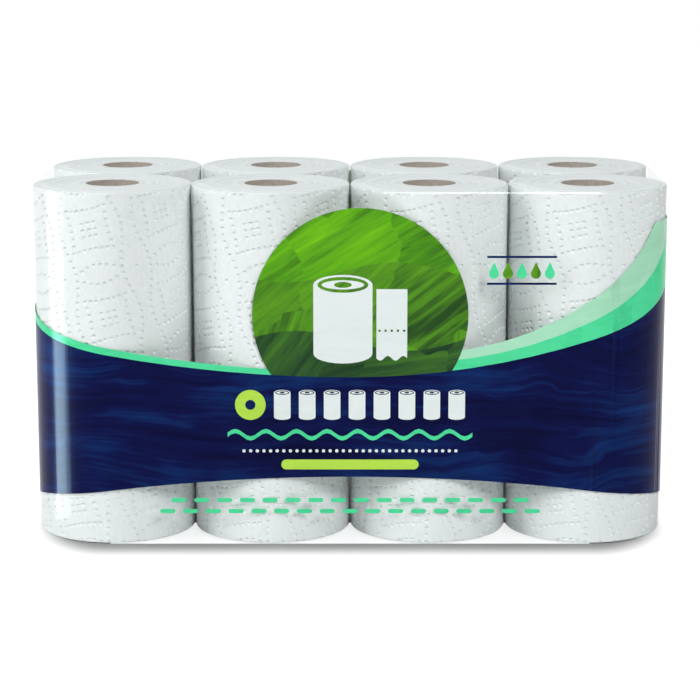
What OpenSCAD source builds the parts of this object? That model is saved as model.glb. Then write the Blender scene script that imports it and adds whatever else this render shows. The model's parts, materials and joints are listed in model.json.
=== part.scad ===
// Eight paper towel rolls, four wide and two deep, standing on end in a sealed
// wrap of clear film. The film is printed with a navy band, green sweeps, a
// round badge and plain pictograms. Millimetres, +Z up, the printed front
// faces -Y, and the origin is at the middle of the underside.

/* [Rolls] */
// Diameter of a roll, across its outer turn
roll_d = 125.7; // [115:0.1:140]
// Height of a roll, which is the width of the paper web
roll_h = 279.4; // [275:0.1:310]
// Gap between neighbouring rolls
roll_gap = 0.3; // [0.1:0.1:1]
// Step where the outer sheet ends
sheet_t = 0.5; // [0.2:0.1:1]
// Direction of that step, from +X towards +Y, in degrees
tail_angle = 118; // [60:1:150]
// Grooves between bands of turns on each end of a roll
turn_count = 6; // [2:1:10]
// Width of one groove between turns
turn_groove_w = 0.8; // [0.4:0.1:1.5]
// Depth of one groove between turns
turn_groove_depth = 0.3; // [0.1:0.1:0.6]

/* [Cores] */
// Inside diameter of the cardboard core
core_bore = 41; // [36:0.5:46]
// Wall of the cardboard core
core_wall = 0.8; // [0.5:0.1:2]
// Clearance between the core and the first turn, on the radius
core_gap = 0.1; // [0.05:0.05:0.3]

/* [Film] */
// Thickness of the film
film_t = 0.4; // [0.3:0.1:0.8]
// Gap between the film and the sides and tops of the rolls
film_gap = 0.3; // [0.1:0.1:1]
// Length of each folded end flap, up or down the side
flap_len = 96; // [60:1:120]
// Width of an end flap at its free edge
flap_tip_w = 30; // [15:1:60]
// Height of the fold strip where a flap leaves its panel
flap_fold_h = 4; // [2:1:8]
// Width of the lap seam along the back
seam_w = 14; // [8:1:20]
// Height of the lap seam above the underside
seam_z = 8; // [4:1:14]

/* [Printed band] */
// Thickness of one layer of print
ink_t = 0.2; // [0.1:0.05:0.4]
// Height of the printed panel, whose middle is kept at the middle of the pack
print_h = 280.5; // [276:0.5:300]
// Height of the lower edge at the middle
band_low_z = 55; // [50:1:60]
// Radius of the lower edge
band_low_r = 1550; // [1200:10:2400]
// Height of the upper edge at the middle
band_top_z = 135; // [130:1:140]
// Radius of the upper edge, left of the middle
band_left_r = 1043; // [900:1:1600]
// Radius of the upper edge, right of the middle
band_right_r = 614; // [560:1:900]

/* [Stripe and sweeps] */
// Height that the left stripe's upper edge would have at the middle
stripe_z = 139.5; // [138:0.5:144]
// Radius of the left stripe's upper edge
stripe_r = 988; // [940:1:1100]
// Distance of the mint sweep's lowest point right of the middle
mint_x = 48; // [40:1:60]
// Height of the mint sweep's upper edge at its lowest point
mint_z = 146.8; // [144:0.1:150]
// Radius of the mint sweep's upper edge
mint_r = 319; // [300:1:400]
// Distance of the pale sweep's lowest point right of the middle
pale_x = 56; // [50:1:62]
// Height of the pale sweep's upper edge at its lowest point
pale_z = 154.4; // [152:0.1:158]
// Radius of the pale sweep's upper edge
pale_r = 230; // [215:1:260]
// Height at which both sweeps are cut off
sweep_cut_z = 254; // [240:1:258]

/* [Badge] */
// Radius of the round badge
badge_r = 84; // [78:1:86]
// Distance of the badge's centre right of the middle
badge_x = 8; // [0:1:12]
// Height of the badge's centre
badge_z = 184; // [178:1:186]
// Height of the far hills above the badge's centre
far_hill_z = 34; // [20:1:44]
// Depth of the near hills below the badge's centre
near_hill_z = 20; // [10:1:26]
// Swell of the hills, up and down
hill_swell = 8; // [4:1:12]
// Length of one hill and valley
hill_len = 170; // [120:5:240]
// Width of the roll pictogram on the badge
badge_roll_w = 46; // [36:1:50]
// Height of the roll pictogram on the badge
badge_roll_h = 70; // [56:1:74]
// Depth of that pictogram's middle below the badge's centre
badge_roll_low = 3; // [0:1:5]
// Width of the sheet beside it
badge_sheet_w = 24; // [14:1:28]
// Gap between that sheet and the roll
badge_sheet_gap = 3; // [1:0.5:5]

/* [Pictograms on the band] */
// Rolls in the row of pictograms
icon_count = 8; // [4:1:8]
// Width of one pictogram
icon_w = 13; // [8:0.5:14]
// Height of one pictogram
icon_h = 24; // [18:1:26]
// Pitch of the pictograms
icon_pitch = 19.5; // [15:0.5:21]
// Height of the row of pictograms above the underside
icon_z = 101; // [99:1:104]
// Outer diameter of the ring left of the row
ring_d = 24; // [18:1:26]
// Bore of that ring
ring_bore = 8; // [5:1:12]
// Amplitude of the wave ribbon
wave_amp = 3; // [2:0.5:4]
// Length of one wave
wave_len = 24; // [16:1:30]
// Number of waves
wave_count = 8; // [4:1:9]
// Width of the wave ribbon
wave_w = 3.4; // [2:0.2:4]
// Height of the wave ribbon's middle
wave_z = 89; // [86:1:92]
// Diameter of one perforation dot
dot_d = 2.6; // [1.6:0.1:3.4]
// Pitch of the perforation dots
dot_pitch = 5.2; // [4:0.1:7]
// Height of the row of dots
dot_z = 76; // [74:0.5:78]
// Length of the rounded bar
bar_len = 108; // [60:1:150]
// Height of the rounded bar
bar_h = 8; // [5:0.5:9]
// Height of the rounded bar's middle
bar_z = 65; // [64:0.5:67]

/* [Print on the clear film] */
// Length of one dash in the rows under the band
dash_len = 12; // [8:1:16]
// Width of one dash
dash_w = 3.4; // [2:0.2:4.4]
// Pitch of the dashes along a row
dash_pitch = 18; // [17:1:26]
// Height of the lower row of dashes
dash_z = 27; // [25:0.5:28]
// Pitch of the two rows of dashes
dash_row_pitch = 9; // [7:0.5:10]
// Distance of the two rules' middle right of the third gap
rule_shift = 7; // [0:1:12]
// Length of the two rules
rule_len = 54; // [30:1:60]
// Width of a rule
rule_w = 1.7; // [1:0.1:3]
// Height of the lower rule
rule_z = 209; // [206:1:214]
// Pitch of the two rules
rule_pitch = 21; // [16:1:24]
// Height of a drop between the rules
drop_h = 13; // [8:1:14]

/* [Hidden] */
columns = 4;
rows = 2;
row_names = ["front", "back"];

// Names of the nodes
function roll_name(row, column) = str("towel_roll_", row_names[row], "_", column + 1);
function core_name(row, column) = str("core_", row_names[row], "_", column + 1);
PRINTS = ["navy_print", "mint_print", "pale_mint_print", "green_print",
          "bright_green_print", "dark_green_print", "lime_print", "white_print"];

// Colours, as the photograph shows them
paper_white = [0.93, 0.94, 0.93];
core_brown = [0.62, 0.56, 0.50];
film_clear = [0.90, 0.94, 0.96, 0.35];
navy = [0.09, 0.14, 0.38];
mint = [0.28, 0.83, 0.60];
pale_mint = [0.62, 0.88, 0.74];
green = [0.30, 0.53, 0.15];
bright_green = [0.38, 0.67, 0.14];
dark_green = [0.16, 0.33, 0.16];
lime = [0.72, 0.89, 0.32];
print_white = [0.95, 0.97, 0.97];

// Rolls stand on the film's floor, in a square grid
roll_r = roll_d / 2;
roll_pitch = roll_d + roll_gap;
flat_x = (columns - 1) / 2 * roll_pitch;
flat_y = (rows - 1) / 2 * roll_pitch;
floor_z = film_t;
pack_h = film_t + roll_h + film_gap + film_t;
print_rise = (pack_h - print_h) / 2;

// Radii of the core and of the paper's bore
core_r = core_bore / 2 + core_wall;
paper_bore_r = core_r + core_gap;

// The film and each print layer stand this far out from the rolls
film_out = film_gap + film_t;
front_y = flat_y + roll_r + film_out;
side_x = flat_x + roll_r + film_out;
corner_r = roll_r + film_out;

// Round shapes
$fn = 96;
small = 0.01;
beyond = 10;

// Distances along the film are measured from the middle of the front. They are
// straight across the front and bend round each corner.
corner_arc = corner_r * PI / 2;
flat_steps = 8;
corner_steps = 9;
half_lengths = concat(
    [for (i = [0 : flat_steps]) flat_x * i / flat_steps],
    [for (i = [1 : corner_steps]) flat_x + corner_arc * i / corner_steps]
);
function film_x(s) = let (a = abs(s))
    a <= flat_x ? s : sign(s) * (flat_x + corner_r * sin((a - flat_x) / corner_r * 180 / PI));

// Height of an arc with its lowest point at s = low_s, or with a negative
// radius its highest point, at a distance s along the film
function arc_z(s, low_s, low_z, r) = low_z + sign(r) * (abs(r) - sqrt(r * r - pow(s - low_s, 2)));
function left_edge(low_s, z, r) =
    [for (a = half_lengths) [film_x(-a), arc_z(-a, low_s, z, r)]];
function right_edge(low_s, z, r) =
    [for (a = half_lengths) if (a >= low_s) [film_x(a), arc_z(a, low_s, z, r)]];
function carried_on(edge) = let (last = edge[len(edge) - 1])
    concat(edge, [[last.x + sign(last.x) * beyond, last.y]]);
function reversed(list) = [for (i = [len(list) - 1 : -1 : 0]) list[i]];

// Outline of the pack from above, grown by a distance from the rolls
module pack_outline(grow) {
    square([2 * flat_x, 2 * (flat_y + roll_r + grow)], center = true);
    square([2 * (flat_x + roll_r + grow), 2 * flat_y], center = true);
    for (x = [-flat_x, flat_x], y = [-flat_y, flat_y])
        translate([x, y]) circle(r = roll_r + grow);
}

module at_roll(row, column) {
    translate([(column - (columns - 1) / 2) * roll_pitch,
               (row - (rows - 1) / 2) * roll_pitch, floor_z])
        children();
}

// Grooves between the bands of turns, cut into one end of a roll
module turn_grooves() {
    turn_pitch = (roll_r - paper_bore_r) / (turn_count + 1);
    for (i = [1 : turn_count])
        rotate_extrude() translate([paper_bore_r + i * turn_pitch, 0])
            polygon([[-turn_groove_w / 2, 0], [0, -turn_groove_depth], [turn_groove_w / 2, 0],
                     [turn_groove_w / 2, 1], [-turn_groove_w / 2, 1]]);
}

// Paper wound on its core. The outer turn ends in one step, so the outline is
// two half circles, the second with its centre moved by half a sheet.
module towel_roll() {
    color(paper_white) difference() {
        rotate([0, 0, tail_angle]) linear_extrude(roll_h) {
            intersection() {
                circle(r = roll_r);
                translate([-roll_d, 0]) square([2 * roll_d, roll_d]);
            }
            translate([-sheet_t / 2, 0]) intersection() {
                circle(r = roll_r - sheet_t / 2);
                translate([-roll_d, -roll_d]) square([2 * roll_d, roll_d]);
            }
        }
        translate([0, 0, -1]) cylinder(h = roll_h + 2, r = paper_bore_r);
        translate([0, 0, roll_h]) turn_grooves();
        mirror([0, 0, 1]) turn_grooves();
    }
}

// Spiral-wound cardboard tube inside a roll
module core() {
    color(core_brown) difference() {
        cylinder(h = roll_h, r = core_r);
        translate([0, 0, -1]) cylinder(h = roll_h + 2, d = core_bore);
    }
}

// One end flap, folded down the side from the top edge and lying over the print
module end_flap() {
    base_y = flat_y;
    translate([side_x, 0, pack_h]) rotate([90, 0, 90]) {
        linear_extrude(ink_t + film_t)
            translate([-base_y, -flap_fold_h]) square([2 * base_y, flap_fold_h]);
        translate([0, 0, ink_t]) linear_extrude(film_t)
            polygon([[-base_y, 0], [base_y, 0], [flap_tip_w / 2, -flap_len],
                     [-flap_tip_w / 2, -flap_len]]);
    }
}

// The film: a closed wrap with folded flaps on both ends and a lap seam behind
module film_wrap() {
    color(film_clear) {
        difference() {
            linear_extrude(pack_h) pack_outline(film_out);
            translate([0, 0, floor_z]) linear_extrude(pack_h - 2 * film_t) pack_outline(film_gap);
        }
        for (side = [0, 1], end = [0, 1])
            mirror([side, 0, 0]) translate([0, 0, end * pack_h]) mirror([0, 0, end]) end_flap();
        translate([-flat_x, front_y - small, seam_z]) cube([2 * flat_x, film_t + small, seam_w]);
    }
}

// A layer of print that follows the film all the way round the pack, where the
// shape seen from the front covers it
module printed_round() {
    intersection() {
        difference() {
            linear_extrude(pack_h) pack_outline(film_out + ink_t);
            translate([0, 0, -1]) linear_extrude(pack_h + 2) pack_outline(film_out);
        }
        translate([0, front_y + beyond, 0]) rotate([90, 0, 0])
            linear_extrude(2 * (front_y + beyond)) translate([0, print_rise]) children();
    }
}

// A layer of print on the flat of the front, over other layers
module printed_front(under = 0) {
    translate([0, -front_y - under * ink_t, 0]) rotate([90, 0, 0])
        linear_extrude(ink_t) translate([0, print_rise]) children();
}

module band_shape() {
    low_right = [for (a = half_lengths) [film_x(a), arc_z(a, 0, band_low_z, -band_low_r)]];
    low_left = [for (p = low_right) [-p.x, p.y]];
    polygon(concat(
        carried_on(right_edge(0, band_top_z, band_right_r)),
        reversed(carried_on(low_right)),
        carried_on([for (i = [1 : len(low_left) - 1]) low_left[i]]),
        reversed(carried_on([for (p = left_edge(0, band_top_z, band_left_r)) if (p.x < 0) p]))
    ));
}

module badge_disc() {
    translate([badge_x, badge_z]) circle(r = badge_r);
}

module stripe_shape() {
    difference() {
        polygon(concat(carried_on(left_edge(0, stripe_z, stripe_r)),
                       reversed(carried_on(left_edge(0, band_top_z, band_left_r)))));
        badge_disc();
    }
}

// The two sweeps rise to the right, one over the other, and are cut off level
module under_sweep(low_x, low_z, r) {
    difference() {
        intersection() {
            polygon(concat([[mint_x, band_top_z - beyond]], [[mint_x, low_z]],
                           carried_on(right_edge(low_x, low_z, r)),
                           [[side_x + 2 * beyond, band_top_z - beyond]]));
            square([2 * side_x, sweep_cut_z]);
        }
        band_shape();
        badge_disc();
    }
}

module pale_edge() {
    rise = sweep_cut_z - pale_z;
    reach = pale_x + sqrt(pow(pale_r, 2) - pow(pale_r - rise, 2));
    lengths = concat([for (a = half_lengths) if (a > pale_x && a < reach) a], [reach]);
    difference() {
        polygon(concat([[mint_x, mint_z - beyond]], [[mint_x, pale_z]],
                       [for (a = lengths) [film_x(a), arc_z(a, pale_x, pale_z, pale_r)]],
                       [[side_x + beyond, sweep_cut_z], [side_x + beyond, mint_z - beyond]]));
        badge_disc();
    }
}

module pale_shape() {
    difference() {
        pale_edge();
        under_sweep(mint_x, mint_z, mint_r);
        band_shape();
    }
}

// Hills on the badge: the ground is everything below a wave, which starts at a
// share of its length from the badge's left edge
module hills(z, phase) {
    steps = 24;
    polygon(concat(
        [for (i = [0 : steps]) let (along = 2 * badge_r * i / steps)
            [badge_x - badge_r + along, z + hill_swell * sin((along / hill_len + phase) * 360)]],
        [[badge_x + badge_r, 0], [badge_x - badge_r, 0]]
    ));
}

module far_hills() {
    hills(badge_z + far_hill_z, 0.6);
}

module near_hills() {
    hills(badge_z - near_hill_z, 0.05);
}

module badge_part() {
    intersection() {
        difference() {
            badge_disc();
            band_shape();
        }
        children();
    }
}

module oval(w, h) {
    polygon([for (a = [0 : 15 : 345]) [w / 2 * cos(a), h / 2 * sin(a)]]);
}

// A towel roll standing on end, seen a little from above
module roll_icon(w, h) {
    oval_h = 0.34 * w;
    line = 0.07 * w;
    difference() {
        union() {
            translate([-w / 2, oval_h / 2]) square([w, h - oval_h]);
            translate([0, oval_h / 2]) oval(w, oval_h);
            translate([0, h - oval_h / 2]) oval(w, oval_h);
        }
        translate([0, h - oval_h / 2]) {
            difference() {
                oval(w - 2 * line, oval_h - line);
                oval(w - 4 * line, oval_h - 2.6 * line);
            }
            oval(0.3 * w, 0.3 * oval_h);
        }
    }
}

// The free sheet beside the roll on the badge, with one row of perforations
module hanging_sheet(w, h) {
    wave_h = 0.035 * h;
    steps = 16;
    hole_count = 5;
    difference() {
        polygon(concat([[0, h]], [[w, h]],
            [for (i = [0 : steps]) [w * (1 - i / steps), wave_h * sin(720 * i / steps)]]));
        for (i = [1 : hole_count])
            translate([w * (i - 0.5) / hole_count, 0.4 * h]) circle(d = 0.4 * w / hole_count, $fn = 16);
    }
}

module badge_icon() {
    left = -(badge_roll_w + badge_sheet_gap + badge_sheet_w) / 2;
    translate([badge_x + left, badge_z - badge_roll_low - badge_roll_h / 2]) {
        translate([badge_roll_w / 2, 0]) roll_icon(badge_roll_w, badge_roll_h);
        translate([badge_roll_w + badge_sheet_gap, 0.06 * badge_roll_h])
            hanging_sheet(badge_sheet_w, 0.78 * badge_roll_h);
    }
}

// A bar with round ends, its middle at the origin
module bar(length, height) {
    square([length - height, height], center = true);
    for (x = [-1, 1]) translate([x * (length - height) / 2, 0]) circle(d = height, $fn = 32);
}

// A drop, whose straight sides leave its round end at a tangent
module drop(h) {
    r = 0.3 * h;
    rise = asin(r / (h - r));
    translate([0, r]) circle(r = r, $fn = 32);
    polygon([[-r * cos(rise), r + r * sin(rise)], [r * cos(rise), r + r * sin(rise)], [0, h]]);
}

// The ring and the row of roll pictograms share one middle line
icon_row_w = (icon_count - 1) * icon_pitch + icon_w;
ring_gap = icon_pitch - icon_w;
icon_left = -(icon_row_w + ring_gap + ring_d) / 2;

module icon_row() {
    for (i = [0 : icon_count - 1])
        translate([icon_left + ring_d + ring_gap + icon_w / 2 + i * icon_pitch, icon_z])
            roll_icon(icon_w, icon_h);
}

module core_ring() {
    translate([icon_left + ring_d / 2, icon_z + icon_h / 2]) difference() {
        circle(d = ring_d);
        circle(d = ring_bore);
    }
}

module wave_ribbon() {
    steps = 8 * wave_count;
    function edge(side) = [for (i = [0 : steps])
        [wave_len * wave_count * (i / steps - 0.5),
         wave_z + wave_amp * sin(360 * wave_count * i / steps) + side * wave_w / 2]];
    polygon(concat(edge(1), reversed(edge(-1))));
}

module dot_row() {
    count = floor((icon_row_w + ring_d) / dot_pitch);
    for (i = [0 : count - 1])
        translate([(i - (count - 1) / 2) * dot_pitch, dot_z]) circle(d = dot_d, $fn = 16);
}

// Two rows of dashes between the middles of the outer rolls, one row shifted by half a pitch
module dash_rows() {
    reach = flat_x - roll_r / 2;
    count = floor(2 * reach / dash_pitch);
    for (row = [0, 1], i = [0 : count - 1 - row])
        translate([(i - (count - 1 - row) / 2) * dash_pitch, dash_z + row * dash_row_pitch])
            bar(dash_len, dash_w);
}

// Two rules with drops between them, just right of the third gap
rules_x = roll_pitch + rule_shift;

module rules() {
    for (i = [0, 1])
        translate([rules_x - rule_len / 2, rule_z + i * rule_pitch - rule_w / 2])
            square([rule_len, rule_w]);
}

module drops(turns) {
    drop_count = 5;
    for (i = turns)
        translate([rules_x + (i - (drop_count - 1) / 2) * rule_len / drop_count,
                   rule_z + (rule_pitch - drop_h) / 2])
            drop(drop_h);
}

module navy_print() {
    color(navy) {
        printed_round() band_shape();
        printed_front() rules();
    }
}

module mint_print() {
    color(mint) {
        printed_round() {
            stripe_shape();
            under_sweep(mint_x, mint_z, mint_r);
        }
        printed_front() {
            dash_rows();
            drops([0, 2, 4]);
        }
        printed_front(under = 1) wave_ribbon();
    }
}

module pale_mint_print() {
    color(pale_mint) printed_round() pale_shape();
}

module green_print() {
    color(green) {
        printed_round() badge_part() difference() {
            far_hills();
            near_hills();
        }
        printed_front() drops([1, 3]);
    }
}

module bright_green_print() {
    color(bright_green) printed_round() badge_part() difference() {
        badge_disc();
        far_hills();
    }
}

module dark_green_print() {
    color(dark_green) printed_round() badge_part() near_hills();
}

module lime_print() {
    color(lime) printed_front(under = 1) {
        core_ring();
        translate([0, bar_z]) bar(bar_len, bar_h);
    }
}

module white_print() {
    color(print_white) printed_front(under = 1) {
        badge_icon();
        icon_row();
        dot_row();
    }
}

for (row = [0 : rows - 1], column = [0 : columns - 1]) {
    at_roll(row, column) towel_roll();
    at_roll(row, column) core();
}
film_wrap();
navy_print();
mint_print();
pale_mint_print();
green_print();
bright_green_print();
dark_green_print();
lime_print();
white_print();
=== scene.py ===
import json
import math

import bpy
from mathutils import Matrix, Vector

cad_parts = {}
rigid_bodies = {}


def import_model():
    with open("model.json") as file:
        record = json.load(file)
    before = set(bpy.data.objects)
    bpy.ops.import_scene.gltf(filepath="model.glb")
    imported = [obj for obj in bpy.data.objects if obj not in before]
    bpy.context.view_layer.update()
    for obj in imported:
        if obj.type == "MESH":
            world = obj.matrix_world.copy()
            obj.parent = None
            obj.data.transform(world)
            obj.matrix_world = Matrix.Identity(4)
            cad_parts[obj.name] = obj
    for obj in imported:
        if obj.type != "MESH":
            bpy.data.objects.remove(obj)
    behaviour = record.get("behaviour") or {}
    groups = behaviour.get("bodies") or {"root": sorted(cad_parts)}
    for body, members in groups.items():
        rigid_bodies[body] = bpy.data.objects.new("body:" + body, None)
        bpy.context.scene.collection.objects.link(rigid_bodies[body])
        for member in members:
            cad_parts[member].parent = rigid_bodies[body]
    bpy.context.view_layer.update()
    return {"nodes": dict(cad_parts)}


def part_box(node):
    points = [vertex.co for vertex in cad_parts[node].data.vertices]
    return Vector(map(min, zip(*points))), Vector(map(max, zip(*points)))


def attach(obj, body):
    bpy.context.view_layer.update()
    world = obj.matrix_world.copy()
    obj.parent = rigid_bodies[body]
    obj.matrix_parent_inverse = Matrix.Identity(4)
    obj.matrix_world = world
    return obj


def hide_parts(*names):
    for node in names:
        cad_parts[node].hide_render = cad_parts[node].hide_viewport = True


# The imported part: its rolls, cores, film and print, in metres. The printed front
# faces -Y, and the pack stands on z = 0.
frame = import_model()
bpy.ops.object.select_all(action="DESELECT")


# Cardboard cores: grey-brown board wound in a spiral to a thin tube, cut square
# and glued under the first turn of paper. One stands in the middle of each roll.
MM = 0.001
ROWS = ("front", "back")
COLUMNS = (1, 2, 3, 4)
core_wall = 0.8 * MM
core_edge = 0.2 * MM
core_sides = 96
core_low, core_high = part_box("core_front_1")
core_r = (core_high.x - core_low.x) / 2
roll_height = core_high.z - core_low.z
roll_floor = core_low.z
board = (0.43, 0.365, 0.30, 1)
board_fleck = (0.29, 0.235, 0.19, 1)
board_seam = (0.20, 0.15, 0.11, 1)
winding_pitch = 110 * MM
winding_seam = 0.006


def new_material(name, roughness, **inputs):
    """A material with plain values on its Principled shader. Returns it, its nodes and that shader."""
    material = bpy.data.materials.new(name)
    material.use_nodes = True
    nodes = material.node_tree.nodes
    shader = nodes["Principled BSDF"]
    shader.inputs["Roughness"].default_value = roughness
    for socket, value in inputs.items():
        shader.inputs[socket.replace("_", " ")].default_value = value
    return material, nodes, shader


def joined(material, *pairs):
    """Links each pair of an output and an input."""
    for output, socket in pairs:
        material.node_tree.links.new(output, socket)


def math_node(nodes, operation, first, second=0.0, third=0.0):
    """A Math node on values or outputs. Returns its output."""
    node = nodes.new("ShaderNodeMath")
    node.operation = operation
    for socket, value in zip(node.inputs, (first, second, third)):
        if isinstance(value, bpy.types.NodeSocket):
            node.id_data.links.new(value, socket)
        else:
            socket.default_value = value
    return node.outputs["Value"]


def noise(nodes, vector, scale, detail, stretch=(1, 1, 1), roughness=0.55):
    """Noise on a stretched pattern space. Returns its factor output."""
    mapping = nodes.new("ShaderNodeMapping")
    mapping.inputs["Scale"].default_value = stretch
    texture = nodes.new("ShaderNodeTexNoise")
    texture.inputs["Scale"].default_value = scale
    texture.inputs["Detail"].default_value = detail
    texture.inputs["Roughness"].default_value = roughness
    links = mapping.id_data.links
    links.new(vector, mapping.inputs["Vector"])
    links.new(mapping.outputs["Vector"], texture.inputs["Vector"])
    return texture.outputs["Fac"]


def ramp(nodes, factor, *stops):
    """A colour ramp of (position, colour) stops. Returns its colour output."""
    node = nodes.new("ShaderNodeValToRGB")
    elements = node.color_ramp.elements
    while len(elements) < len(stops):
        elements.new(0.5)
    for element, (position, colour) in zip(elements, stops):
        element.position = position
        element.color = colour
    node.id_data.links.new(factor, node.inputs["Fac"])
    return node.outputs["Color"]


def bump(nodes, height, distance, strength, base=None):
    """A Bump node, over another bump if one is given. Returns its normal output."""
    node = nodes.new("ShaderNodeBump")
    node.inputs["Distance"].default_value = distance
    node.inputs["Strength"].default_value = strength
    node.id_data.links.new(height, node.inputs["Height"])
    if base is not None:
        node.id_data.links.new(base, node.inputs["Normal"])
    return node.outputs["Normal"]


board_finish, nodes, shader = new_material("core_board", 0.85, Specular_IOR_Level=0.25)
place = nodes.new("ShaderNodeUVMap")
place.uv_map = "round"
parts = nodes.new("ShaderNodeSeparateXYZ")
flecks = noise(nodes, place.outputs["UV"], 900, 4, (1, 0.25, 1))
turn = math_node(nodes, "DIVIDE", parts.outputs["X"], 2 * math.pi * core_r)
climb = math_node(nodes, "DIVIDE", parts.outputs["Y"], winding_pitch)
winding = math_node(nodes, "FRACT", math_node(nodes, "SUBTRACT", climb, turn))
off_seam = math_node(nodes, "ABSOLUTE", math_node(nodes, "SUBTRACT", winding, 0.5))
board_line = math_node(nodes, "LESS_THAN", off_seam, winding_seam)
board_relief = math_node(nodes, "SUBTRACT", flecks, board_line)
tone = nodes.new("ShaderNodeMix")
tone.data_type = "RGBA"
tone.inputs["B"].default_value = board_seam
joined(board_finish, (place.outputs["UV"], parts.inputs["Vector"]),
       (ramp(nodes, flecks, (0.35, board_fleck), (0.62, board)), tone.inputs["A"]),
       (board_line, tone.inputs["Factor"]), (tone.outputs["Result"], shader.inputs["Base Color"]),
       (bump(nodes, board_relief, 0.1 * MM, 0.6), shader.inputs["Normal"]))


def wrap_uv(piece, radius):
    """A UV map in metres: round and up the side of an upright round piece, then on inward over its ends."""
    layer = piece.data.uv_layers.new(name="round")
    middle_z = roll_floor + roll_height / 2
    for polygon in piece.data.polygons:
        on_end = abs(polygon.normal.z) > 0.7
        middle = math.atan2(polygon.center.y, polygon.center.x)
        for index in polygon.loop_indices:
            corner = piece.data.vertices[piece.data.loops[index].vertex_index].co
            lag = math.remainder(math.atan2(corner.y, corner.x) - middle, 2 * math.pi)
            up = corner.z - middle_z
            if on_end:
                up = math.copysign(roll_height / 2 + 2 * radius - corner.xy.length, up)
            layer.data[index].uv = ((middle + lag) * radius, up)


def copy_into_pack(model, node_name, piece_name):
    """One copy of a model made round the Z axis, with its own mesh, on each core's axis. The model goes."""
    for row in ROWS:
        for column in COLUMNS:
            low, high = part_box(f"core_{row}_{column}")
            bpy.ops.object.select_all(action="DESELECT")
            model.select_set(True)
            bpy.context.view_layer.objects.active = model
            bpy.ops.object.duplicate()
            piece = bpy.context.object
            piece.name = piece_name.format(row=row, column=column)
            piece.data.name = piece.name
            piece.location = ((low.x + high.x) / 2, (low.y + high.y) / 2, 0)
            bpy.ops.object.transform_apply(location=True)
            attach(piece, "root")
            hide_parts(node_name.format(row=row, column=column))
    bpy.data.objects.remove(model)


def give_wall(piece, thickness, offset):
    """Gives a sheet its thickness, inward at offset -1 and to both sides at 0."""
    bpy.ops.object.modifier_add(type="SOLIDIFY")
    wall = piece.modifiers[-1]
    wall.thickness = thickness
    wall.offset = offset
    bpy.ops.object.modifier_apply(modifier=wall.name)


bpy.ops.mesh.primitive_cylinder_add(
    vertices=core_sides, radius=core_r, depth=roll_height, end_fill_type="NOTHING",
    location=(0, 0, roll_floor + roll_height / 2))
core = bpy.context.object
bpy.ops.object.transform_apply(location=True)
give_wall(core, core_wall, -1)
bpy.ops.object.modifier_add(type="BEVEL")
rounding = core.modifiers[-1]
rounding.width = core_edge
rounding.segments = 2
rounding.angle_limit = math.radians(60)
bpy.ops.object.modifier_apply(modifier=rounding.name)
bpy.ops.object.shade_smooth_by_angle(angle=math.radians(40))
core.data.materials.append(board_finish)
wrap_uv(core, core_r)
copy_into_pack(core, "core_{row}_{column}", "core_tube_{row}_{column}")


# Paper rolls: white two-ply towel, embossed with dotted squares and lenses and
# wound on the core. The outer turn ends in one glued edge, and each end of the
# roll shows the edges of its turns.
roll_low, roll_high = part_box("towel_roll_front_1")
roll_r = (roll_high.x - roll_low.x) / 2
roll_middle = roll_floor + roll_height / 2
sheet_step = 0.5 * MM
tail_turn = math.radians(28)
core_gap = 0.2 * MM
bore_r = core_r + core_gap
rim = 1.1 * MM
rim_in = 0.35 * rim
rim_out = 0.7 * rim
repeat_w = 60.2 * MM
repeat_h = 71 * MM
cells_w = 46
cells_h = 40
lean = math.radians(12)
first_square = (-43.7 * MM, 110.3 * MM)
dimple_w = 3.9 * MM
dimple_h = 3.3 * MM
dimple_deep = 1.4 * MM
# How far the points of a dimple lie from its middle, in shares of its width and height
dimple_end = (0.5, 0)
dimple_corner = (0.43, 0.37)
dimple_side = (0.2, 0.5)
dimple_floor = (0.27, 0.1)
square_w = 32 * MM
square_h = 33 * MM
square_bow = 1.2 * MM
square_dots = 8
square_side_dots = 3
middle_pitch = 5.2 * MM
column_gap = 8 * MM
column_swing = 3.5 * MM
column_dots = 13
lens_w = 42 * MM
lens_h = 7.8 * MM
lens_dots = 8
end_sides = 96
turn_bands = 10
groove_w = 0.8 * MM
groove_depth = 0.2 * MM
paper = (0.88, 0.912, 0.91, 1)
paper_shade = (0.82, 0.856, 0.853, 1)
ring_shade = (0.71, 0.76, 0.757, 1)

upright = (math.pi / 2, 0, 0)
bpy.ops.mesh.primitive_grid_add(x_subdivisions=cells_w, y_subdivisions=cells_h, size=1, rotation=upright)
roll = bpy.context.object
roll.dimensions = (repeat_w, repeat_h, 0)
bpy.ops.object.transform_apply(rotation=True, scale=True)
pressed = []
wishes = {}


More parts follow.
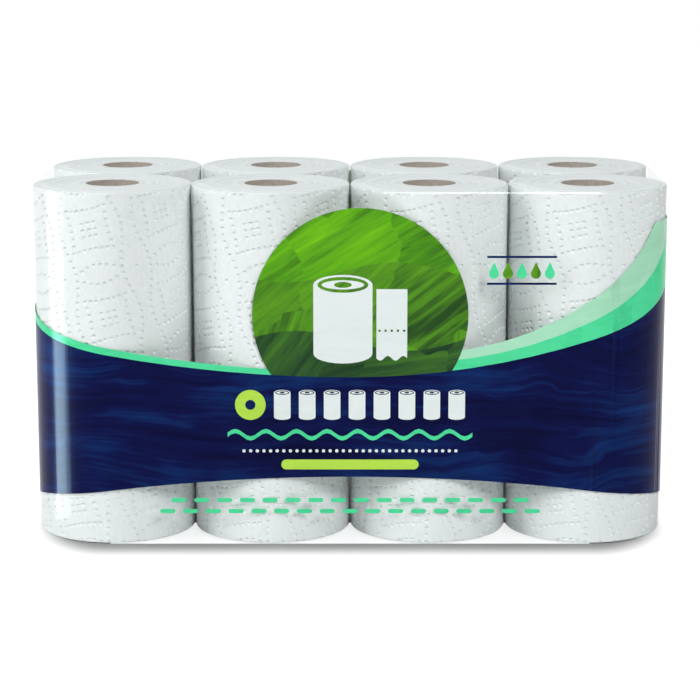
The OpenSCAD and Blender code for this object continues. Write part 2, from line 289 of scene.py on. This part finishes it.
def press_dimple(across, up):
    """Draws twelve crossings of the grid into an oval dimple: ten on its rim, two along its bottom."""
    column = math.floor((across / repeat_w + 0.5) * cells_w) % cells_w
    row = round((up / repeat_h + 0.5) * cells_h) % cells_h
    for other_column, other_row in pressed:
        if (abs(math.remainder(column - other_column, cells_w)) < 3
                and abs(math.remainder(row - other_row, cells_h)) < 2):
            return
    pressed.append((column, row))
    homes = [(home_i, home_j) for home_i in (column - cells_w, column, column + cells_w)
             for home_j in (row - cells_h, row, row + cells_h)]
    for i in range(-1, 3):
        for j in range(-1, 2):
            if i in (-1, 2):
                out_x, out_z = dimple_corner if j else dimple_end
            else:
                out_x, out_z = dimple_side if j else dimple_floor
            move_x = math.copysign(out_x, i - 0.5) * dimple_w
            move_z = (j or 1) * out_z * dimple_h
            deep = dimple_deep if i in (0, 1) and j == 0 else 0
            for home_i, home_j in homes:
                if 0 <= home_i + i <= cells_w and 0 <= home_j + j <= cells_h:
                    home_x = (home_i / cells_w - 0.5) * repeat_w
                    home_z = (home_j / cells_h - 0.5) * repeat_h
                    x = home_x + math.remainder(across - home_x, repeat_w) + move_x
                    z = home_z + math.remainder(up - home_z, repeat_h) + move_z
                    crossing = (home_j + j) * (cells_w + 1) + home_i + i
                    wishes.setdefault(crossing, []).append(Vector((x, deep, z)))


# One repeat: a bowed square with nine dots in its middle, wavy columns at both
# sides of it, and a lens above and below it
for side in (-1, 1):
    for i in range(square_dots):
        across = i / (square_dots - 1) - 0.5
        bow = square_bow * (1 - (2 * across) ** 2)
        press_dimple(across * square_w, side * (square_h / 2 - bow))
    for i in range(1 - square_side_dots, square_side_dots):
        bow = square_bow * (1 - (i / square_side_dots) ** 2)
        press_dimple(side * (square_w / 2 - bow), i / (2 * square_side_dots) * square_h)
for i in (-1, 0, 1):
    for j in (-1, 0, 1):
        press_dimple(i * middle_pitch, j * middle_pitch)
for i in range(column_dots):
    along = ((i + 0.5) / column_dots - 0.5) * repeat_h
    for side in (-1, 1):
        swell = column_gap - column_swing * math.cos(2 * math.pi * along / repeat_h)
        press_dimple(repeat_w / 2 + side * swell, along)
press_dimple(repeat_w / 2, repeat_h / 2)
for i in range(lens_dots):
    along = ((i + 0.5) / lens_dots - 0.5) * lens_w
    for side in (-1, 1):
        press_dimple(along, repeat_h / 2 + side * lens_h * math.cos(math.pi * along / lens_w))

for index, places in wishes.items():
    roll.data.vertices[index].co = sum(places, Vector()) / len(places)

# The faces round each dimple's bottom are split so that its walls slope evenly
bpy.ops.object.mode_set(mode="EDIT")
bpy.ops.mesh.select_mode(type="VERT")
bpy.ops.mesh.select_all(action="DESELECT")
bpy.ops.object.mode_set(mode="OBJECT")
for vertex in roll.data.vertices:
    vertex.select = vertex.co.y > dimple_deep / 2
bpy.ops.object.mode_set(mode="EDIT")
bpy.ops.mesh.select_more()
bpy.ops.mesh.quads_convert_to_tris(quad_method="SHORTEST_DIAGONAL")
bpy.ops.object.mode_set(mode="OBJECT")

# Enough repeats to cover a turn of the sheet when the pattern leans
around = 2 * math.pi * roll_r
tall = roll_height - 2 * rim
repeats_w = math.ceil((around + tall * math.sin(lean)) / repeat_w) + 2
repeats_h = math.ceil((tall + around * math.sin(lean)) / repeat_h) + 2
for axis, count, size in ((0, repeats_w, repeat_w), (2, repeats_h, repeat_h)):
    bpy.ops.object.modifier_add(type="ARRAY")
    array = roll.modifiers[-1]
    array.count = count
    array.use_relative_offset = False
    array.use_constant_offset = True
    array.constant_offset_displace = [size if i == axis else 0 for i in range(3)]
    array.use_merge_vertices = True
    array.merge_threshold = 0.02 * MM
    bpy.ops.object.modifier_apply(modifier=array.name)
roll.location = (-repeat_w * (repeats_w // 2 - 1), 0, -repeat_h * (repeats_h - 2))
bpy.ops.object.transform_apply(location=True)
roll.rotation_euler = (0, -lean, 0)
roll.location = (first_square[0], 0, first_square[1])
bpy.ops.object.transform_apply(location=True, rotation=True)
bpy.ops.object.mode_set(mode="EDIT")
for place, normal in (((around / 2, 0, 0), (1, 0, 0)), ((-around / 2, 0, 0), (-1, 0, 0)),
                      ((0, 0, tall / 2), (0, 0, 1)), ((0, 0, -tall / 2), (0, 0, -1))):
    bpy.ops.mesh.select_all(action="SELECT")
    bpy.ops.mesh.bisect(plane_co=place, plane_no=normal, clear_outer=True)
bpy.ops.mesh.select_all(action="SELECT")
bpy.ops.mesh.remove_doubles(threshold=0.15 * MM)
bpy.ops.object.mode_set(mode="OBJECT")
for vertex in roll.data.vertices:
    for axis, edge in ((0, around / 2), (2, tall / 2)):
        if abs(abs(vertex.co[axis]) - edge) < 0.2 * MM:
            vertex.co[axis] = math.copysign(edge, vertex.co[axis])

# A flat sheet that is turned a little bends into a spiral with one step
roll.rotation_euler = (0, 0, math.atan(sheet_step / around))
roll.location = (0, sheet_step / 2, 0)
bpy.ops.object.transform_apply(location=True, rotation=True)
bpy.ops.object.modifier_add(type="SIMPLE_DEFORM")
bend = roll.modifiers[-1]
bend.deform_method = "BEND"
bend.deform_axis = "Z"
bend.angle = 2 * math.pi
bpy.ops.object.modifier_apply(modifier=bend.name)
roll.location = (0, -roll_r, 0)
bpy.ops.object.transform_apply(location=True)
roll.rotation_euler = (0, 0, tail_turn)
roll.location = (0, 0, roll_middle)
bpy.ops.object.transform_apply(location=True, rotation=True)


def select_edges(piece, wanted, open_only=False):
    """Selects edges whose two ends, as points, are wanted, or open ones alone, and enters edit mode."""
    bpy.ops.object.mode_set(mode="EDIT")
    bpy.ops.mesh.select_mode(type="EDGE")
    bpy.ops.mesh.select_all(action="DESELECT")
    bpy.ops.object.mode_set(mode="OBJECT")
    faces = {}
    for polygon in piece.data.polygons:
        for key in polygon.edge_keys:
            faces[key] = faces.get(key, 0) + 1
    vertices = piece.data.vertices
    for edge in piece.data.edges:
        in_reach = not open_only or faces.get(edge.key, 0) < 2
        edge.select = in_reach and wanted(*(vertices[v].co for v in edge.vertices))
    bpy.ops.object.mode_set(mode="EDIT")


# The tail: the outer turn's end stands one sheet proud of the turn under it
select_edges(roll, lambda a, b: abs(a.z - b.z) > 0.01 * MM, open_only=True)
bpy.ops.mesh.bridge_edge_loops()
bpy.ops.object.mode_set(mode="OBJECT")

# The ends: a soft rim, then a flat with grooves between bands of turns
band_w = (roll_r - rim - bore_r) / (turn_bands + 1)
for end, out in ((roll_floor, -1), (roll_floor + roll_height, 1)):
    select_edges(roll, lambda a, b: max(abs(a.z - end), abs(b.z - end)) < rim + 0.01 * MM, open_only=True)
    bpy.ops.mesh.extrude_edges_move()
    bpy.ops.transform.resize(value=(1 - rim_in / roll_r,) * 2 + (1,), center_override=(0, 0, end))
    bpy.ops.transform.translate(value=(0, 0, out * rim_out))
    bpy.ops.mesh.select_all(action="DESELECT")
    ring_r = roll_r - sheet_step - rim
    bpy.ops.mesh.primitive_circle_add(vertices=end_sides, radius=ring_r, location=(0, 0, end))
    for i in range(turn_bands, 0, -1):
        groove_r = bore_r + i * band_w
        for new_r, rise in ((groove_r + groove_w / 2, 0), (groove_r, -out * groove_depth),
                            (groove_r - groove_w / 2, out * groove_depth)):
            bpy.ops.mesh.extrude_edges_move()
            bpy.ops.transform.resize(value=(new_r / ring_r, new_r / ring_r, 1), center_override=(0, 0, end))
            bpy.ops.transform.translate(value=(0, 0, rise))
            ring_r = new_r
    bpy.ops.mesh.extrude_edges_move()
    bpy.ops.transform.resize(value=(bore_r / ring_r, bore_r / ring_r, 1), center_override=(0, 0, end))
    bpy.ops.object.mode_set(mode="OBJECT")
    select_edges(roll, lambda a, b: max(abs(a.z - end), abs(b.z - end)) < rim and a.xy.length > roll_r / 2,
                 open_only=True)
    bpy.ops.mesh.bridge_edge_loops()
    bpy.ops.object.mode_set(mode="OBJECT")
select_edges(roll, lambda a, b: True, open_only=True)
bpy.ops.mesh.bridge_edge_loops()
bpy.ops.mesh.select_all(action="SELECT")
bpy.ops.mesh.normals_make_consistent(inside=False)
bpy.ops.object.mode_set(mode="OBJECT")
bpy.ops.object.shade_smooth_by_angle(angle=math.radians(18))

paper_finish, nodes, shader = new_material("embossed_paper", 0.92, Specular_IOR_Level=0.2)
place = nodes.new("ShaderNodeUVMap")
place.uv_map = "round"
fibre = noise(nodes, place.outputs["UV"], 420, 5, (1, 0.4, 1))
crepe = noise(nodes, place.outputs["UV"], 700, 3, (2.4, 0.12, 1))
cloth = noise(nodes, place.outputs["UV"], 38, 2)
turns = noise(nodes, place.outputs["UV"], 260, 4, (0.01, 1, 1), 0.7)
parts = nodes.new("ShaderNodeSeparateXYZ")
from_middle = math_node(nodes, "ABSOLUTE", parts.outputs["Y"])
on_end = math_node(nodes, "GREATER_THAN", from_middle, roll_height / 2)
side_tone = ramp(nodes, fibre, (0.3, paper_shade), (0.65, paper))
end_tone = ramp(nodes, turns, (0.38, ring_shade), (0.6, paper))
relief = nodes.new("ShaderNodeMix")
tone = nodes.new("ShaderNodeMix")
tone.data_type = "RGBA"
joined(paper_finish, (place.outputs["UV"], parts.inputs["Vector"]),
       (on_end, relief.inputs["Factor"]), (crepe, relief.inputs["A"]), (turns, relief.inputs["B"]),
       (on_end, tone.inputs["Factor"]), (side_tone, tone.inputs["A"]), (end_tone, tone.inputs["B"]),
       (tone.outputs["Result"], shader.inputs["Base Color"]),
       (bump(nodes, relief.outputs["Result"], 0.12 * MM, 0.35, bump(nodes, cloth, 1.2 * MM, 0.12)),
        shader.inputs["Normal"]))
roll.data.materials.append(paper_finish)
wrap_uv(roll, roll_r)
copy_into_pack(roll, "towel_roll_{row}_{column}", "paper_roll_{row}_{column}")


# Film: one sheet of clear glossy polyethylene, wrapped tight round the rolls and
# welded shut. Its ends are folded in like an envelope, and its long seam lies
# flat along the back.
pack_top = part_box("film_wrap")[1].z
front_axis = (core_low + core_high) / 2
corner_r = roll_r + 0.7 * MM
side_x = -front_axis.x + corner_r
front_y = -front_axis.y + corner_r
film_in = 0.05 * MM
film_skin = 0.1 * MM
film_edge = 2.2 * MM
corner_sides = 24
flap_len = 96 * MM
flap_root_w = -2 * front_axis.y
flap_tip_w = 30 * MM
flap_out = 0.4 * MM
hem_w = 3 * MM
hem_step = 0.3 * MM
pane_in = 9 * MM
pane_step = 0.4 * MM
seam_out = 0.1 * MM
seam_w = 14 * MM
seam_z = 8 * MM
crimps = 6
crimp_rise = 0.35 * MM
# How much the film mirrors, as shares: where it lies flat, extra in a band over the rounded top edge, a
# painted highlight placed so the rim card's real reflection shows there as a bright line, and more at a
# glancing angle
flat_mirror = 0.008
edge_highlight_mirror = 0.022
glancing_mirror = 0.07
edge_middle = pack_top - 0.55 * film_edge
edge_half = 0.45 * film_edge

bpy.ops.object.select_all(action="DESELECT")
bpy.ops.mesh.primitive_cube_add(size=1, location=(0, 0, pack_top / 2))
film = bpy.context.object
film.dimensions = (2 * (side_x - film_in), 2 * (front_y - film_in), pack_top)
bpy.ops.object.transform_apply(location=True, scale=True)

select_edges(film, lambda a, b: abs(a.z - b.z) > pack_top / 2)
bpy.ops.mesh.bevel(offset=corner_r - film_in, segments=corner_sides, affect="EDGES")
bpy.ops.object.mode_set(mode="OBJECT")
select_edges(film, lambda a, b: abs(a.z - b.z) < 1e-5)
bpy.ops.mesh.bevel(offset=film_edge, segments=4, affect="EDGES")
bpy.ops.object.mode_set(mode="OBJECT")
give_wall(film, film_skin, -1)
wraps = [film]

# The envelope folds: a flap from above and one from below on each end, with hems
# of doubled film along their slanting sides
for side in (-1, 1):
    for start, way in ((pack_top - film_edge, -1), (film_edge, 1)):
        bpy.ops.mesh.primitive_plane_add(size=1, rotation=(0, math.pi / 2, 0))
        flap = bpy.context.object
        flap.dimensions = (flap_len, flap_root_w, 0)
        flap.location = (side * (side_x + flap_out), 0, start + way * flap_len / 2)
        bpy.ops.object.transform_apply(location=True, rotation=True, scale=True)
        tip = start + way * flap_len
        select_edges(flap, lambda a, b: abs(a.z - tip) < 1e-5 and abs(b.z - tip) < 1e-5)
        bpy.ops.transform.resize(value=(1, flap_tip_w / flap_root_w, 1))
        bpy.ops.mesh.select_all(action="SELECT")
        bpy.ops.mesh.inset(thickness=hem_w)
        bpy.ops.transform.translate(value=(-side * hem_step, 0, 0))
        bpy.ops.mesh.inset(thickness=pane_in)
        bpy.ops.transform.translate(value=(side * pane_step, 0, 0))
        bpy.ops.object.mode_set(mode="OBJECT")
        give_wall(flap, film_skin, 0)
        wraps.append(flap)

# The long seam: two edges of film welded and crimped between heated ribbed bars
seam_length = -2 * front_axis.x
crimp_pitch = seam_w / crimps
bpy.ops.mesh.primitive_grid_add(
    x_subdivisions=1, y_subdivisions=2 * crimps, size=1, rotation=upright,
    location=(0, front_y + seam_out, seam_z + seam_w / 2))
seam = bpy.context.object
seam.dimensions = (seam_length, seam_w, 0)
bpy.ops.object.transform_apply(location=True, rotation=True, scale=True)
select_edges(seam, lambda a, b: abs(a.z - b.z) < 1e-6 and round((a.z - seam_z) / crimp_pitch * 2) % 2 == 1)
bpy.ops.transform.translate(value=(0, crimp_rise, 0))
bpy.ops.object.mode_set(mode="OBJECT")
give_wall(seam, film_skin, 0)
wraps.append(seam)

bpy.ops.object.select_all(action="DESELECT")
for piece in wraps:
    piece.select_set(True)
bpy.context.view_layer.objects.active = film
bpy.ops.object.join()
bpy.ops.object.shade_smooth_by_angle(angle=math.radians(40))

film_finish, nodes, shader = new_material(
    "clear_film", 0.2, Base_Color=(1, 1, 1, 1), Metallic=1.0)
clear = nodes.new("ShaderNodeBsdfTransparent")
clear.inputs["Color"].default_value = (0.99, 0.995, 0.995, 1)
facing = nodes.new("ShaderNodeLayerWeight")
facing.inputs["Blend"].default_value = 0.5
edge_on = math_node(nodes, "POWER", facing.outputs["Facing"], 4.0)
place = nodes.new("ShaderNodeTexCoord")
parts = nodes.new("ShaderNodeSeparateXYZ")
joined(film_finish, (place.outputs["Object"], parts.inputs["Vector"]))
# Painted highlight: a band over the rounded top edge mirrors more, so the rim card shows there as a line
painted_highlight_band = math_node(nodes, "COMPARE", parts.outputs["Z"], edge_middle, edge_half)
mirror = math_node(nodes, "MULTIPLY_ADD", painted_highlight_band, edge_highlight_mirror, flat_mirror)
mirror = math_node(nodes, "MULTIPLY_ADD", edge_on, glancing_mirror, mirror)
ripple = noise(nodes, place.outputs["Object"], 9, 2, (1, 1, 0.6))
mix = nodes.new("ShaderNodeMixShader")
joined(film_finish,
       (bump(nodes, ripple, 3 * MM, 0.25), shader.inputs["Normal"]),
       (mirror, mix.inputs["Fac"]), (clear.outputs["BSDF"], mix.inputs[1]),
       (shader.outputs["BSDF"], mix.inputs[2]),
       (mix.outputs["Shader"], nodes["Material Output"].inputs["Surface"]))
film.name = "film_sheet"
film.data.materials.clear()
film.data.materials.append(film_finish)
for polygon in film.data.polygons:
    polygon.material_index = 0
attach(film, "root")
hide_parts("film_wrap")


# Print: inks laid on the film in brushed, layered strokes before it was wrapped,
# so they follow its flats and corners. Each colour is one piece.
ink_tones = {
    "navy": ((0.0008, 0.001, 0.026, 1), (0.0022, 0.005, 0.062, 1), (0.004, 0.034, 0.16, 1)),
    "mint": ((0.07, 0.68, 0.31, 1), (0.085, 0.76, 0.355, 1), (0.095, 0.79, 0.375, 1)),
    "pale_mint": ((0.39, 0.77, 0.54, 1), (0.42, 0.81, 0.57, 1), (0.45, 0.84, 0.60, 1)),
    "green": ((0.022, 0.075, 0.016, 1), (0.09, 0.29, 0.018, 1), (0.15, 0.44, 0.018, 1)),
    "bright_green": ((0.035, 0.14, 0.014, 1), (0.11, 0.40, 0.014, 1), (0.19, 0.60, 0.012, 1)),
    "dark_green": ((0.014, 0.045, 0.018, 1), (0.028, 0.09, 0.026, 1), (0.06, 0.19, 0.024, 1)),
    "lime": ((0.48, 0.78, 0.085, 1), (0.52, 0.82, 0.09, 1), (0.54, 0.84, 0.10, 1)),
    "white": ((0.80, 0.88, 0.87, 1), (0.83, 0.91, 0.90, 1), (0.85, 0.92, 0.91, 1)),
}
# How each ink is brushed: the lean of its strokes and how far it varies, the patches
# to a metre, how they step in tone and blend, and the weights of bristle marks, of
# ink loads and of broad shades
brushing = {
    "navy": (0.05, 0.6, 7, 0, 0.8, 0.7, 0.4, 0.9),
    "green": (1.0, 1.4, 15, 0.22, 0, 1, 0.8, 0),
    "bright_green": (0.9, 1.7, 15, 0.22, 0, 1, 0.8, 0),
    "dark_green": (0.7, 1.2, 15, 0.22, 0, 1, 0.8, 0),
}
plain_brushing = (0.1, 0.6, 15, 0.22, 0, 1, 0.8, 0)


def brushwork(nodes, lean_angle, spread, patch_count, step, blend, bristles, loads, shades):
    """Painted patches, each brushed its own way. Returns a tone from 0 to 1."""
    place = nodes.new("ShaderNodeTexCoord").outputs["Object"]
    links = nodes.id_data.links
    wander = nodes.new("ShaderNodeTexNoise")
    wander.inputs["Scale"].default_value = 22
    wander.inputs["Detail"].default_value = 3
    links.new(place, wander.inputs["Vector"])
    sway = nodes.new("ShaderNodeVectorMath")
    sway.operation = "MULTIPLY_ADD"
    sway.inputs[1].default_value = (0.05, 0.05, 0.05)
    links.new(wander.outputs["Color"], sway.inputs[0])
    links.new(place, sway.inputs[2])
    patches = nodes.new("ShaderNodeTexVoronoi")
    patches.inputs["Scale"].default_value = patch_count
    links.new(sway.outputs["Vector"], patches.inputs["Vector"])
    chance = nodes.new("ShaderNodeSeparateColor")
    links.new(patches.outputs["Color"], chance.inputs["Color"])
    brushed = nodes.new("ShaderNodeVectorRotate")
    brushed.rotation_type = "Y_AXIS"
    links.new(place, brushed.inputs["Vector"])
    if blend:
        patches.feature = "SMOOTH_F1"
        patches.inputs["Smoothness"].default_value = blend
        links.new(patches.outputs["Position"], brushed.inputs["Center"])
    links.new(math_node(nodes, "MULTIPLY_ADD", chance.outputs["Red"], spread, lean_angle - spread / 2),
              brushed.inputs["Angle"])
    tone = 0.5 - (step + bristles + loads + shades) / 2
    for output, weight in (
            (chance.outputs["Green"], step),
            (noise(nodes, brushed.outputs["Vector"], 170, 5, (0.07, 0.07, 1), 0.62), bristles),
            (noise(nodes, brushed.outputs["Vector"], 40, 3, (0.25, 0.25, 1)), loads),
            (noise(nodes, brushed.outputs["Vector"], 16, 3, (0.5, 0.5, 1)), shades)):
        if weight:
            tone = math_node(nodes, "MULTIPLY_ADD", output, weight, tone)
    return tone


for ink, (deep, body, light) in ink_tones.items():
    node = frame["nodes"][f"{ink}_print"]
    bpy.ops.object.select_all(action="DESELECT")
    node.select_set(True)
    bpy.context.view_layer.objects.active = node
    bpy.ops.object.duplicate()
    layer = bpy.context.object
    layer.name = f"{ink}_ink_layer"
    bpy.ops.object.mode_set(mode="EDIT")
    bpy.ops.mesh.select_all(action="SELECT")
    bpy.ops.mesh.remove_doubles(threshold=1e-6)
    bpy.ops.object.mode_set(mode="OBJECT")
    bpy.ops.object.shade_smooth_by_angle(angle=math.radians(20))
    ink_finish, nodes, shader = new_material(f"{ink}_ink", 0.22, Specular_IOR_Level=0.05)
    tone = brushwork(nodes, *brushing.get(ink, plain_brushing))
    colour = ramp(nodes, tone, (0.25, deep), (0.5, body), (0.78, light))
    joined(ink_finish, (colour, shader.inputs["Base Color"]))
    layer.data.materials.clear()
    layer.data.materials.append(ink_finish)
    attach(layer, "root")
    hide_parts(f"{ink}_print")


# The studio: a white floor and background, soft boxes at both sides and above,
# and the camera in front, a little above the pack.
floor_drop = 0.3 * MM
shadow_w = 0.19
shadow_reach = 42 * MM
end_fade = 1.5
painted_shade_glow = 0.03
floor_glow = 0.88
far_glow = 0.2
painted_foot_light = 0.83
bpy.ops.mesh.primitive_plane_add(size=12, location=(0, 0, -floor_drop))
floor = bpy.context.object
floor.name = "studio_floor"
floor_finish, nodes, shader = new_material("studio_floor", 0.9, Specular_IOR_Level=0.0)


def seen_directly(nodes):
    """1 for what the camera sees, and what gloss and clear pieces show of it. Returns the output."""
    path = nodes.new("ShaderNodeLightPath")
    gloss = math_node(nodes, "MAXIMUM", path.outputs["Is Glossy Ray"], path.outputs["Is Transmission Ray"])
    return math_node(nodes, "MAXIMUM", path.outputs["Is Camera Ray"], gloss)


def past(nodes, coordinate, half):
    """How far a coordinate lies past a half width, or 0 within it. Returns the output."""
    beyond = math_node(nodes, "SUBTRACT", math_node(nodes, "ABSOLUTE", coordinate), half)
    return math_node(nodes, "MAXIMUM", beyond, 0)


# The floor glows up to white a little way from the pack, so its real contact shadow stays; close to the pack
# the glow is also held low, a painted contact shadow over the real one, shorter at the ends. In front of the
# rolls' axes, under the pack, the floor glows nearly white: painted light, seen through the clear film where
# the rolls shade the floor
place = nodes.new("ShaderNodeTexCoord")
parts = nodes.new("ShaderNodeSeparateXYZ")
joined(floor_finish, (place.outputs["Object"], parts.inputs["Vector"]))
out_x = past(nodes, parts.outputs["X"], shadow_w)
out_y = past(nodes, parts.outputs["Y"], -front_axis.y)
under = 1.0
for value, limit in ((parts.outputs["Y"], front_axis.y), (out_x, 0.1 * MM), (out_y, corner_r - film_edge)):
    under = math_node(nodes, "MULTIPLY", under, math_node(nodes, "LESS_THAN", value, limit))
out_x = math_node(nodes, "MULTIPLY", out_x, end_fade)
away = math_node(nodes, "SQRT", math_node(
    nodes, "MULTIPLY_ADD", out_x, out_x, math_node(nodes, "MULTIPLY", out_y, out_y)))
# Painted contact shadow: the glow starts low at the pack's outline and rises over the shadow's reach
painted_shade_ramp = nodes.new("ShaderNodeMapRange")
painted_shade_ramp.interpolation_type = "SMOOTHSTEP"
painted_shade_ramp.inputs["From Min"].default_value = corner_r
painted_shade_ramp.inputs["From Max"].default_value = corner_r + shadow_reach
painted_shade_ramp.inputs["To Min"].default_value = painted_shade_glow
painted_shade_ramp.inputs["To Max"].default_value = floor_glow
far = nodes.new("ShaderNodeMapRange")
far.inputs["From Min"].default_value = corner_r + shadow_reach
far.inputs["From Max"].default_value = corner_r + 1
far.inputs["To Max"].default_value = far_glow
glow = nodes.new("ShaderNodeEmission")
both = nodes.new("ShaderNodeAddShader")
joined(floor_finish, (away, painted_shade_ramp.inputs["Value"]), (away, far.inputs["Value"]))
level = math_node(nodes, "ADD", painted_shade_ramp.outputs["Result"], far.outputs["Result"])
# Painted light under the pack: the floor there glows nearly white although the rolls shade it
level = math_node(nodes, "MULTIPLY_ADD", under, painted_foot_light, level)
seen = seen_directly(nodes)
joined(floor_finish, (math_node(nodes, "MULTIPLY", seen, level), glow.inputs["Strength"]),
       (ramp(nodes, seen, (0, (0.95, 0.95, 0.95, 1)), (1, (0.3, 0.3, 0.3, 1))), shader.inputs["Base Color"]),
       (shader.outputs["BSDF"], both.inputs[0]), (glow.outputs["Emission"], both.inputs[1]),
       (both.outputs["Shader"], nodes["Material Output"].inputs["Surface"]))
floor.data.materials.append(floor_finish)

world = bpy.data.worlds.new("studio")
bpy.context.scene.world = world
world.use_nodes = True
nodes = world.node_tree.nodes
room = 0.03
world.node_tree.links.new(math_node(nodes, "MULTIPLY_ADD", seen_directly(nodes), 1 - room, room),
                          nodes["Background"].inputs["Strength"])
nodes["Background"].inputs["Color"].default_value = (1, 1, 1, 1)


def soft_box(name, place, target, width, height, glow, colour=(1, 1, 1)):
    """A rectangular lamp of an even glow that faces a point and isn't seen by the camera."""
    bpy.ops.object.light_add(type="AREA", location=place)
    lamp = bpy.context.object
    lamp.name = name
    lamp.data.shape = "RECTANGLE"
    lamp.data.size = width
    lamp.data.size_y = height
    lamp.data.energy = glow * width * height * math.pi
    lamp.data.color = colour
    lamp.rotation_euler = (Vector(target) - Vector(place)).to_track_quat("-Z", "Y").to_euler()
    lamp.visible_camera = False
    return lamp


# Boxes stand round the pack, each turned some degrees from the front and raised some
middle = (0, 0, pack_top / 2)
box_away = 1.9
for name, turned, raised, width, height, glow in (
        ("left_box", -71, 22, 0.5, 1.0, 10.0), ("left_high_box", -48, 45, 0.7, 0.7, 3.4),
        ("right_box", 28, 34, 0.6, 0.7, 12.6), ("back_box", 180, 30, 1.2, 0.7, 6.0)):
    turned, raised = math.radians(turned), math.radians(raised)
    place = (box_away * math.cos(raised) * math.sin(turned), -box_away * math.cos(raised) * math.cos(turned),
             middle[2] + box_away * math.sin(raised))
    soft_box(name, place, middle, width, height, glow).visible_glossy = False
soft_box("top_box", (0, -0.1, 1.7), middle, 1.6, 0.8, 1.1)

# Cards at some pieces only: one lights the feet of the rolls, and the others show
# just as bright streaks in the gloss of the film and of the ink
foot_card = soft_box("foot_card", (0, -0.32, 0.02), (0, -0.12, 0.02), 0.6, 0.04, 0.7)
film_card = soft_box("film_card", (-0.27, -0.115, 0.14), (0, -0.115, 0.14), 0.034, 0.29, 9.5)
rim_card = soft_box("rim_card", (0.21, -0.42, 1.0), (0.16, -0.127, pack_top), 0.24, 0.4, 18)
ink_card = soft_box("ink_card", (-0.27, -0.119, 0.145), (0, -0.119, 0.145), 0.026, 0.29, 54,
                    (0.65, 0.91, 0.91))
rolls = [f"paper_roll_{row}_{column}" for row in ROWS for column in COLUMNS]
inks = [f"{ink}_ink_layer" for ink in ink_tones]
for card, pieces, streak in (
        (foot_card, rolls, False), (film_card, ["film_sheet"], True),
        (rim_card, ["film_sheet"], True), (ink_card, inks, True)):
    receivers = bpy.data.collections.new(f"{card.name}_pieces")
    for piece in pieces:
        receivers.objects.link(bpy.data.objects[piece])
    card.light_linking.receiver_collection = receivers
    card.visible_diffuse = not streak
    card.visible_glossy = streak

camera_data = bpy.data.cameras.new("camera")
camera = bpy.data.objects.new("camera", camera_data)
bpy.context.collection.objects.link(camera)
camera_data.lens = 115.6
camera_data.sensor_width = 36
camera.location = (0, -1.8435, 0.498)
camera.rotation_euler = (math.radians(90 - 11.2424), 0, 0)
bpy.context.scene.camera = camera
bpy.context.scene.view_settings.view_transform = "Standard"
